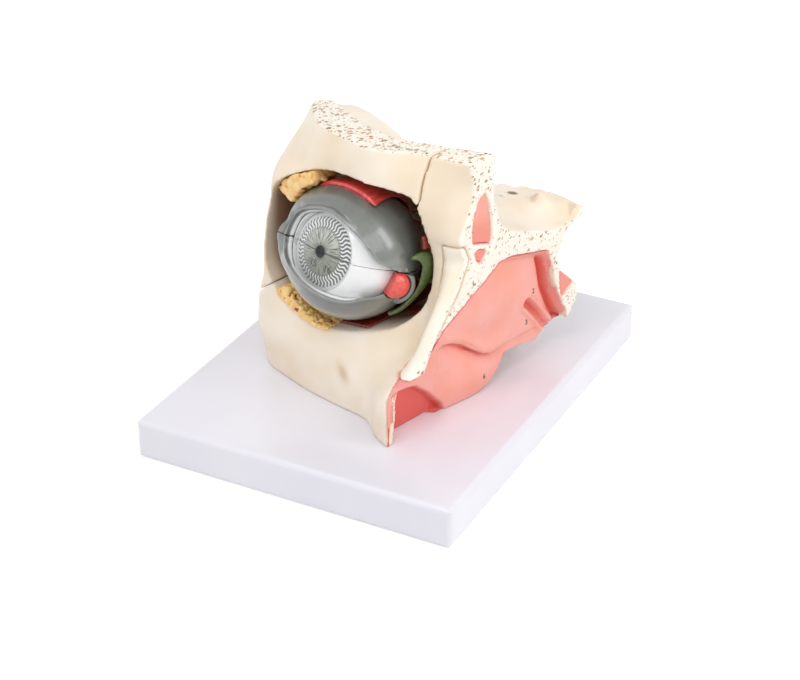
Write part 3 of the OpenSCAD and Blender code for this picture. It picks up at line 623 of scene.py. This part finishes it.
# Painted fields of a bone skin: sawn where it lies in the midline cut or on top in front of the
# brow's back edge, a tan tint with painted shade just inside the rim of the orbit, lined where pink runs over it
def boneFields(piece):
    p = corners(piece.data)
    q = toBlock(p)
    x, y, z = q.T
    n = normals(piece.data) @ blockAxes
    midline = ease(-1.0, -0.5, x) * ease(0.6, 0.9, n[:, 0])
    back = np.interp(-x, browBack["across"], browBack["depth"])
    band = ease(-0.3, 0.2, z - boneMarks["bandHeight"]) * ease(-0.5, 0.5, back - y) * ease(0.7, 0.9, n[:, 2])
    furrow = hill(x, y, *boneMarks["furrow"]) * (z > 115) * 0.9
    setField(piece, "sawn", np.maximum(np.maximum(midline, band), furrow))
    setField(piece, "marrow", np.maximum(band, furrow))
    setField(piece, "canal", 0.95 * ease(0.35, 0.7, hill(x, y, *boneMarks["canal"])) * (z > 112))
    e = q - eyeAt
    # behind the slanting plane of the rim, and a little deeper on the side of the nose
    behind = e[:, 1] + boneMarks["rimAhead"] - boneMarks["rimSlant"] * e[:, 0]
    behind = behind - boneMarks["noseSideDeeper"] * ease(18, 36, e[:, 0])
    facing = ease(0.0, 0.45, -(n * e).sum(1) / np.linalg.norm(e, axis=1))
    near = np.hypot(e[:, 0], e[:, 2]) < boneMarks["socketWide"]
    fade = ease(0, boneMarks["fadeIn"], behind) * (1 - 0.7 * ease(*boneMarks["fadeOut"], behind))
    # the orbit's inside, facing the eye: a tan tint with painted shade, fading in behind the rim
    setField(piece, "hollow", 0.8 * near * facing * fade)
    setField(piece, "stain", 0.7 * hill(x + 0.6 * (z - 47), z, *boneMarks["stain"]) * (y < 30) * (y > 0))
    if piece.name == "bridgeOfTheNose":  # the lining never reaches this bone
        setField(piece, "lined", 0 * x)
        return
    opening = nose["rim"] + nose["low"]
    within = insideOf(y, z, opening) | (chainAway(y, z, closed(opening)) < boneMarks["liningOver"])
    lined = (within & (x > -16)) * ease(-0.5, -0.9, x)
    for outline in sinuses:
        over = chainAway(y, z, closed(outline)) < boneMarks["sinusOver"]
        lined = np.maximum(lined, over * ease(-0.5, -0.9, x) * (x > -14))
    # not on the outer faces, at the front and at the back
    lined = lined * np.maximum(ease(-0.45, -0.2, n[:, 1]), ease(0.5, 0.7, n[:, 0]))
    lined = lined * ((n[:, 1] < 0.35) | ((y < 80) & (z > 60)))
    # the pink strip down the front edge of the nostril
    side = np.interp(z, *boneMarks["noseEdge"])
    setField(piece, "lined", np.maximum(lined, ease(-0.3, 0.5, x - side) * (y < 26) * (z < 62.5)))


for nodeName, pieceName, paint, slotName in [
        ("orbit_block", "boneOfTheOrbit", "bone", "bone"),
        ("orbit_roof", "liftOffRoof", "bone", "bone"),
        ("nasal_bone", "bridgeOfTheNose", "nasal", "nasal_bone")]:
    skin = softSkin(nodeName, pieceName, **boneSkin[pieceName])
    boneFields(skin)
    dress(skin, paints[paint], slotName, nodeName)
print("bone")

# ---- nose and sinuses ----
# Depth of the lining behind the midline, in mm: a soft lip along the rim down to a level floor, two
# rolled shells with an overhanging fold between them, the arch over the nostril, a pit and a groove
noseRelief = {
    "lipWide": 6, "floorDeep": 6.2, "deepest": 11.6, "foldDeep": 5.2, "foldFade": 6, "foldEdge": 1.6,
    "shells": [(3.2, 86, 78, 32, 15), (4.6, 76, 35, 24, 13)], "archDeep": 5.5, "pitDeep": 4.4, "pitRim": 1.3,
    "grooveDeep": 5.0,
}


def noseDepth(y, z):
    relief = noseRelief
    rimAway = chainAway(y, z, nose["rim"])
    lip = ease(0, relief["lipWide"], rimAway) * ease(3, 7, y)
    under = np.interp(y, *np.array(nose["fold"]).T) - z
    below = np.clip(under, 0, 99)
    run = ease(43, 52, y) * (1 - 0.8 * ease(94, 108, y))
    fold = relief["foldDeep"] * ease(-0.6, 0.8, under) * np.exp(-below / relief["foldFade"])
    fold = (fold - relief["foldEdge"] * hill(under, 0, -4, 0, 4, 1)) * run
    shells = sum(-high * hill(y, z, *where) for high, *where in relief["shells"])
    archAway = chainAway(y, z, nose["arch"])
    beneath = (z < np.interp(y, *np.array(nose["arch"]).T)) * (y < 54)
    arch = relief["archDeep"] * ease(0, 4, archAway) * beneath
    pitAway = chainAway(y, z, nose["pit"])
    pit = relief["pitDeep"] * hill(pitAway, 0, 0, 0, 2.3, 1) - relief["pitRim"] * hill(pitAway, 0, 4.4, 0, 1.7, 1)
    pit = pit * (1 - 0.6 * ease(128, 146, y))
    groove = hill(chainAway(y, z, nose["rim"][9:]), 0, 4.4, 0, 2.2, 1) * ease(98, 90, z) * ease(126, 132, y)
    depth = 0.3 + lip * (relief["floorDeep"] + fold + shells + arch + pit + relief["grooveDeep"] * groove)
    # painted shade, strongest in the arch over the nostril, under the overhanging fold, in the pit and in the groove
    dark = np.maximum.reduce([
        0.95 * ease(0.2, 3, archAway) * (arch > 0),
        0.8 * ease(0, 1.2, under) * np.exp(-below / 2.6) * run,
        0.85 * hill(pitAway, 0, 0, 0, 2.2, 1) * (1 - 0.5 * ease(128, 146, y)),
        0.8 * groove])
    return np.clip(depth, 0.3, relief["deepest"]), dark, rimAway


def thickWall(p):  # the node's front comes forward, so that two millimetres are left behind it
    q = toBlock(p)
    q[:, 0] = np.where(q[:, 0] > -13.5, np.maximum(q[:, 0], -11.4), q[:, 0])
    return fromBlock(q)


wallSkin = {"voxel": 0.65, "turns": 24, "edgeTurns": 4, "crease": 50, "reach": 1.4, "before": thickWall}
wall = softSkin("nasal_wall", "nasalWall", **wallSkin)
q = toBlock(corners(wall.data))
n = normals(wall.data) @ blockAxes
depth, dark, rimAway = noseDepth(q[:, 1], q[:, 2])
front = ease(0.3, 0.7, n[:, 0]) * (q[:, 0] > -12.6) * (q[:, 1] > 3)
q[:, 0] += front * (-depth - q[:, 0])
setCorners(wall.data, fromBlock(q))
# painted shade on the lining's front face
setField(wall, "deep", dark * (n[:, 0] > -0.5))
setField(wall, "rimLight", 1 - ease(0.8, 3.0, rimAway))
dress(wall, paints["mucosa"], "mucosa", "nasal_wall")
for nodeName, pieceName in [
        ("frontal_sinus_lining", "frontalSinus"), ("sphenoid_sinus_lining", "sphenoidSinus")]:
    lining = softSkin(nodeName, pieceName, 0.5, turns=6)
    q = toBlock(corners(lining.data))
    # painted shade, darker towards the bottom of the frontal sinus and even over the sphenoid
    setField(lining, "deep", ease(-144, -132, -q[:, 2]) * 0.35)
    setField(lining, "rimLight", 0 * q[:, 0])
    dress(lining, paints["mucosa"], "mucosa", nodeName)
print("nose")

# ---- soft parts in the orbit ----
fatLobes = {"size": 3.0, "height": 1.9, "shift": 1.0}
glandLobes = {"size": 5.0, "height": 1.5, "shift": 4.0}


# Lobes: the skin sinks by the height wherever it lies far from a scattered seed
def lobedSkin(nodeName, pieceName, size, height, shift):
    piece = softSkin(nodeName, pieceName, 0.45, turns=8)
    p = corners(piece.data)
    away = seedDistance(p * 1000, size, shift)
    crown = np.sqrt(np.clip(1 - (away / 0.8) ** 2, 0, 1))
    setCorners(piece.data, p + normals(piece.data) * ((crown - 0.7) * height / 1000)[:, None])
    # the crease field carries the painted shade between lobes
    setField(piece, "crease", 1 - crown)
    return piece


dress(lobedSkin("orbital_fat", "lobedFat", **fatLobes), paints["fat"], "fat_yellow", "orbital_fat")
dress(lobedSkin("lacrimal_gland", "lobedGland", **glandLobes), paints["gland"], "gland_orange", "lacrimal_gland")


# Muscle on the wall: the skin with long shallow grooves, a sum of two sines across its fibres
def fibredSkin(nodeName, pieceName, across, pitch=1.9):
    piece = softSkin(nodeName, pieceName, 0.6, turns=12)
    p = corners(piece.data)
    q = toBlock(p)
    x = q @ np.array(across)
    wave = x * 2 * np.pi / pitch
    groove = np.sin(wave + 0.5 * np.sin(q[:, 1] / 6)) + 0.6 * np.sin(wave / 1.7 + 1)
    setCorners(piece.data, p + normals(piece.data) * ((groove - 1.2) * 0.12 / 1000)[:, None])
    return piece


for nodeName, pieceName, across, paint in [
        ("medial_rectus", "medialMuscle", (0, 0, 1), "muscle"),
        ("lateral_rectus", "lateralMuscle", (0.5, 0, 0.86), "muscle"),
        ("inferior_rectus", "lowerMuscle", (1, 0, 0), "muscle"),
        ("inferior_oblique", "slantingMuscle", (0, 1, 0), "muscleFlat")]:
    dress(fibredSkin(nodeName, pieceName, across), paints[paint], "muscle_red", nodeName)

sac = softSkin("lacrimal_sac", "tearSac", 0.45, turns=14)
dress(sac, paints["sac"], "sac_green", "lacrimal_sac")
print("soft parts")

# ---- the eye ----
lidSkin = {"voxel": 0.6, "turns": 14, "edgeTurns": 4, "crease": 40, "reach": 1.5}
lidShape = {
    "radius": 39.0, "flare": 0.02, "creaseAway": 2.5, "creaseDeep": 0.45, "rollAway": 3.4, "rollHigh": 0.7,
    "swells": [((-0.768, -0.632, -0.05), 0.36, 4.4), ((-0.756, -0.424, 0.499), 0.5, 3.6)],
    "gap": [[-23.5, -1], [-24, 4.5], [-22.5, 10], [-18, 13.5], [-9, 16.5], [-2, 18.5], [4, 19], [10.5, 17.7],
            [17, 15.5], [23, 12.8], [29, 9], [34, 4.5], [39, 0], [38, -8], [34, -14.5], [28, -18], [21, -20],
            [15, -19], [9, -17.5], [4, -15.7], [-2, -13.2], [-7, -11], [-13, -8.6], [-20.5, -6.4]],
}
# A lid follows the ball; a crease and a roll run beside the opening, and at the temple the ball
# swells outwards round two directions from its middle
for half in ["lower", "upper"]:
    lid = softSkin("eyelid_" + half, "lid_" + half, **lidSkin)
    e = toEye(corners(lid.data))
    r = np.linalg.norm(e, axis=1)
    onBall = 1 - ease(0.25, 0.6, np.abs(r - lidShape["radius"] + 0.1))
    e = e * (1 + onBall * (lidShape["radius"] / r - 1))[:, None]
    # distance from the edge of the opening, whose walls flare
    flare = 1 + lidShape["flare"] * np.clip(-e[:, 1] - 18, 0, 50)
    gapAway = chainAway(8 + (e[:, 0] - 8) / flare, e[:, 2] / flare, closed(lidShape["gap"]))
    outer = ease(38.2, 38.8, np.linalg.norm(e, axis=1)) * (e[:, 1] < 0)
    upperLeft = ease(18, 8, e[:, 0]) * ease(-3, 3, e[:, 2])
    crease = hill(gapAway, 0, lidShape["creaseAway"], 0, 0.55, 1) * outer * upperLeft
    roll = hill(gapAway, 0, lidShape["rollAway"], 0, 2.2, 1) * outer * (half == "lower") * lidShape["rollHigh"]
    e = e * (1 + (roll - lidShape["creaseDeep"] * crease) / lidShape["radius"])[:, None]
    r = np.linalg.norm(e, axis=1)
    swell = np.zeros(len(e))
    for way, wide, height in lidShape["swells"]:
        apart = np.linalg.norm(e / r[:, None] - np.array(way), axis=1)
        swell = np.maximum(swell, height * np.exp(-(apart / wide) ** 2))
    swell *= ease(0.8, 6.5, gapAway)
    ball = ease(36.5, 38.6, r) * (e[:, 1] < 2)
    target = np.where(r > 39.05, 39 + (r - 39) * 0.25, r) + swell
    e = e * (1 + ball * (target / r - 1))[:, None]
    setCorners(lid.data, fromEye(e))
    # painted fields: a painted highlight on the lip, painted shade in its crease, the pale wall of the opening and a
    # painted shadow along its edge at the temple
    ahead = e[:, 1] < 0
    inward = np.linalg.norm(toEye(corners(lid.data)), axis=1) - swell
    # painted highlight on the lip
    setField(lid, "margin", (1 - ease(1.2, 1.9, gapAway)) * outer)
    # painted shade in the crease
    setField(lid, "crease", crease)
    setField(lid, "wall", (gapAway < 1.0) * ease(37.6, 36.8, inward) * ahead * (e[:, 0] < 26))
    # painted shadow along the opening's edge at the temple
    atTemple = ahead * ease(-12, -18, e[:, 0])
    setField(lid, "edge", (gapAway < 1.3) * ease(39.2, 38.8, r) * ease(36.4, 36.9, r) * atTemple)
    dress(lid, paints["lid"], "lid_grey", "eyelid_" + half)
    for shell, pieceName, slotName in [
            ("sclera", "whiteShell", "sclera_white"), ("choroid", "innerShell", "choroid_brown"),
            ("iris", "iris", "iris"), ("cornea", "cornea", "clear_cornea")]:
        node = shell + "_" + half
        dress(smoothCopy(node, pieceName + "_" + half), paints[shell], slotName, node)
dress(smoothCopy("caruncle", "cornerFlesh", 40), paints["caruncle"], "caruncle_red", "caruncle")
dress(smoothCopy("optic_nerve", "opticNerve"), paints["nerve"], "nerve_yellow", "optic_nerve")
dress(smoothCopy("vitreous_body", "vitreousBody"), paints["inner"], "clear_inner", "vitreous_body")
dress(smoothCopy("lens", "eyeLens"), paints["inner"], "clear_inner", "lens")


# Strap over the eye: a rounded flat section swept back over the ball, then on to the apex. Across it
# x = middle + half width * c, height = r0 + t / 2 * (1 + s), with c and s the section's blunt cosine
# and sine; long grooves thin it, and both ends round off
def strapPiece(name, shape):
    rows, around = 90, 72
    k = np.linspace(0, 1, rows)[:, None]
    turn = np.linspace(0, 2 * np.pi, around, endpoint=False)[None, :]
    c = np.sign(np.cos(turn)) * np.abs(np.cos(turn)) ** 0.55
    s = np.sign(np.sin(turn)) * np.abs(np.sin(turn)) ** 0.7
    sweep, over = 62, 1.35  # degrees behind the ball's top, and the share of rows that lie on the ball
    slope = np.radians(shape["front"] - (shape["front"] + sweep) * np.minimum(k * over, 1))
    straight = shape["back"] - shape["radius"] * math.sin(math.radians(sweep))
    run = np.maximum(k * over - 1, 0) / (over - 1) * straight
    width = shape["width"][0] + (shape["width"][1] - shape["width"][0]) * k
    end = np.sqrt(np.clip(1 - (1 - np.minimum(k, 1 - k) / 0.02).clip(0) ** 2, 0.02, 1))
    fibres = 1 - 0.09 * (1 + np.sin(c * width * 2 * np.pi / 2.1 + np.sin(k * 9))) * (s > 0)
    x = shape["middle"] + width * c * (0.94 + 0.06 * end)
    r = shape["radius"] + shape["thick"] / 2 * (1 + s * end * fibres)
    up = np.sqrt(r * r - x * x)
    e = np.stack([x + 0 * up, -up * np.sin(slope) + run, up * np.cos(slope) - 0.12 * run], -1)
    return tubeGrid(name, fromEye(e))


# "front" is the slope of the front end in degrees before the ball's top; "width" is half, front and back
levator = {"radius": 39.3, "thick": 3.2, "middle": -4, "width": (24, 8), "front": 24, "back": 49}
rectus = {"radius": 34.4, "thick": 2.4, "middle": 0, "width": (9, 5), "front": -56, "back": 46}
dress(strapPiece("lidLifter", levator), paints["levator"], "muscle_red", "levator")
dress(strapPiece("upperMuscle", rectus), paints["levator"], "muscle_red", "superior_rectus")

# Small plain numbers: on the nose at y and z of the block, on the iris at x and z of the eye
numbers = {
    "nose": [("2", 128, 72), ("3", 123, 53), ("6", 82, 35)], "noseSize": 4.6,
    "iris": [("16", 7.2, -8.4), ("15", -3.4, -7.6)], "irisSize": 5.6, "irisRadius": 54.0,
    "proud": 0.08, "halfThick": 0.06,
}


def typedMesh(text, size):  # a number as a thin flat mesh about the origin, in millimetres
    line = bpy.data.curves.new("type" + text, "FONT")
    line.body, line.size, line.extrude = text, size, numbers["halfThick"]
    line.align_x, line.align_y, line.resolution_u = "CENTER", "CENTER", 3
    typed = newPiece("typed" + text, line)
    mesh = bpy.data.meshes.new_from_object(typed.evaluated_get(bpy.context.evaluated_depsgraph_get()))
    bpy.data.objects.remove(typed)
    return mesh


def inkPiece(name, mesh, host):
    piece = newPiece(name, mesh)
    mesh.materials.clear()
    mesh.materials.append(paints["ink"])
    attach(piece, frame["nodes"][host]["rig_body"])


# Numbers lie on their surfaces: x = -depth of the lining, y = c - sqrt(r^2 - x^2 - z^2) on the iris
for text, y, z in numbers["nose"]:
    mesh = typedMesh(text, numbers["noseSize"])
    p = corners(mesh)
    across, upward = y + p[:, 0], z + p[:, 1]
    depth = noseDepth(across, upward)[0]
    setCorners(mesh, fromBlock(np.stack([numbers["proud"] + p[:, 2] - depth, across, upward], 1)))
    inkPiece("noseNumber" + text, mesh, "nasal_wall")
e = toEye(corners(frame["nodes"]["iris_lower"].data))
crown = (np.sqrt(numbers["irisRadius"] ** 2 - e[:, 0] ** 2 - e[:, 2] ** 2) + e[:, 1]).min()
for text, x, z in numbers["iris"]:
    mesh = typedMesh(text, numbers["irisSize"])
    p = corners(mesh)
    across, upward = x + p[:, 0], z + p[:, 1]
    ahead = np.sqrt(numbers["irisRadius"] ** 2 - across ** 2 - upward ** 2) - crown
    setCorners(mesh, fromEye(np.stack([across, -ahead - numbers["proud"] - p[:, 2], upward], 1)))
    inkPiece("irisNumber" + text, mesh, "iris_lower")
print("eye")

# ---- studio ----
view = {
    "azimuth": 27.26, "elevation": 29.80, "roll": 0.22, "place": (0.4958, -0.9581, 0.6556),
    "focalPixels": 2095, "imageWidth": 800, "sensor": 36,
}
a, e, roll = (math.radians(view[k]) for k in ("azimuth", "elevation", "roll"))
back = np.array([math.sin(a) * math.cos(e), -math.cos(a) * math.cos(e), math.sin(e)])
level = np.array([math.cos(a), math.sin(a), 0])
up = np.cross(level, -back)
right = level * math.cos(roll) + up * math.sin(roll)
up = up * math.cos(roll) - level * math.sin(roll)
camera = bpy.data.objects.new("camera", bpy.data.cameras.new("camera"))
camera.data.sensor_width = view["sensor"]
camera.data.lens = view["focalPixels"] / view["imageWidth"] * view["sensor"]
turned = Matrix([[right[i], up[i], back[i], view["place"][i]] for i in range(3)] + [[0, 0, 0, 1]])
camera.matrix_world = turned
camera.data.clip_start, camera.data.clip_end = 0.05, 20
bpy.context.scene.collection.objects.link(camera)
bpy.context.scene.camera = camera


# name: place, target, width, height and power
lamps = {
    "keyRight": [(1.05, -0.4, 0.85), (0, 0, 0.08), 0.7, 0.7, 3.0],
    "topFront": [(0.0, -0.65, 1.2), (0, 0, 0.08), 0.8, 0.5, 4.8],
    "sideWindow": [(1.137, 0.14, 0.80), (0, -0.03, 0.11), 0.26, 0.8, 3.4],
    "fillLeft": [(-1.1, -0.5, 0.6), (0, 0, 0.08), 0.7, 0.7, 1.4],
}
for name, (place, target, width, height, power) in lamps.items():
    lamp = bpy.data.objects.new(name, bpy.data.lights.new(name, "AREA"))
    lamp.data.shape = "RECTANGLE"
    lamp.data.size, lamp.data.size_y = width, height
    lamp.data.energy = power
    lamp.location = place
    lamp.rotation_euler = (Vector(place) - Vector(target)).to_track_quat("Z", "Y").to_euler()
    bpy.context.scene.collection.objects.link(lamp)

# A grey sky that lights, and plain white for what the camera, gloss and glass see
studio = {"skyGlow": 0.55, "floorColour": 0.86, "floorGlow": (0.42, 0.6), "floorFades": (250, 900), "floorHalf": 6}
seenRays = ["Is Camera Ray", "Is Glossy Ray", "Is Transmission Ray"]
world = bpy.data.worlds.new("studio")
bpy.context.scene.world = world
world.use_nodes = True
tree = world.node_tree
tree.nodes.clear()
rays = tree.nodes.new("ShaderNodeLightPath")
seen = rays.outputs[seenRays[0]]
for kind in seenRays[1:]:
    both = tree.nodes.new("ShaderNodeMath")
    both.operation, both.use_clamp = "ADD", True
    tree.links.new(seen, both.inputs[0])
    tree.links.new(rays.outputs[kind], both.inputs[1])
    seen = both.outputs[0]
chosen = tree.nodes.new("ShaderNodeMixShader")
tree.links.new(seen, chosen.inputs[0])
for socket, strength in [(1, studio["skyGlow"]), (2, 1.0)]:
    sky = tree.nodes.new("ShaderNodeBackground")
    sky.inputs["Color"].default_value = (1, 1, 1, 1)
    sky.inputs["Strength"].default_value = strength
    tree.links.new(sky.outputs[0], chosen.inputs[socket])
tree.links.new(chosen.outputs[0], tree.nodes.new("ShaderNodeOutputWorld").inputs[0])

# The floor glows where it is seen, more so far from the board, and keeps the shadow near it
floorPaint = Paint("floorPaint", roughness=0.9, specular=0.0)
floorPaint.set(**{"Base Color": (*[studio["floorColour"]] * 3, 1), "Emission Color": (1, 1, 1, 1)})
lit = floorPaint.tree.nodes.new("ShaderNodeLightPath")
seenBy = [Wire(floorPaint, lit.outputs[name]) for name in seenRays]
across, along = floorPaint.split(floorPaint.place("board"))[:2]
far = step(floorPaint.maths("POWER", across * across + along * along, 0.5), *studio["floorFades"])
near, more = studio["floorGlow"]
floorPaint.set(**{"Emission Strength": (seenBy[0] + seenBy[1] + seenBy[2]).held() * (far * more + near)})
h = studio["floorHalf"]
mesh = bpy.data.meshes.new("floor")
mesh.from_pydata([(-h, -h, 0), (h, -h, 0), (h, h, 0), (-h, h, 0)], [], [(0, 1, 2, 3)])
floor = newPiece("floor", mesh)
floor.data.materials.append(floorPaint.material)

bpy.context.scene.view_settings.view_transform = "Standard"
print("studio")
